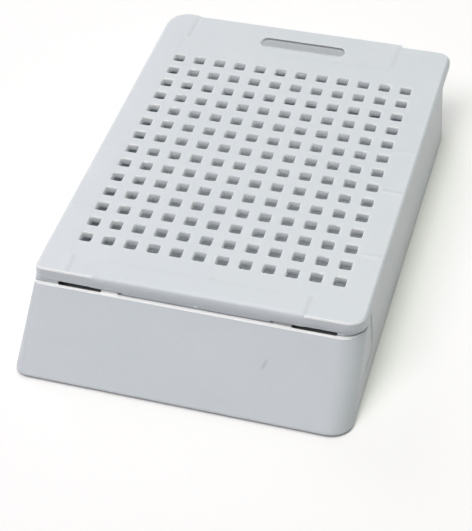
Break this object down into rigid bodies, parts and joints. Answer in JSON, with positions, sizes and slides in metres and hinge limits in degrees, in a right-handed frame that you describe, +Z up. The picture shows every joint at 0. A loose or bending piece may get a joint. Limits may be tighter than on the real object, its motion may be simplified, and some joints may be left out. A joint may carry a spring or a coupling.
{
  "type": "tissue cassette",
  "caption": "Flat perforated sample tray with a sloping writing face and a hinged, snap-shut perforated lid, for holding tissue samples during processing.",
  "frame": {"origin": "centre of the cassette's footprint, on the surface it stands on", "axes": "+X across the cassette, to the right when its writing face is read; +Y from the writing face to the latch; +Z up"},
  "size_m": [0.0286, 0.044, 0.0068],
  "materials": {
    "tray_plastic": "fine matte moulded surface",
    "lid_plastic": "fine matte moulded surface"
  },
  "bodies": {
    "tray": {"tray": "tray_plastic"},
    "lid": {"lid": "lid_plastic"}
  },
  "joints": [
    {"name": "lid_hinge", "type": "hinge", "parent": "tray", "child": "lid", "pos_m": [0, -0.01603, 0.0057], "axis": [1, 0, 0], "range_deg": [0, 130]}
  ]
}
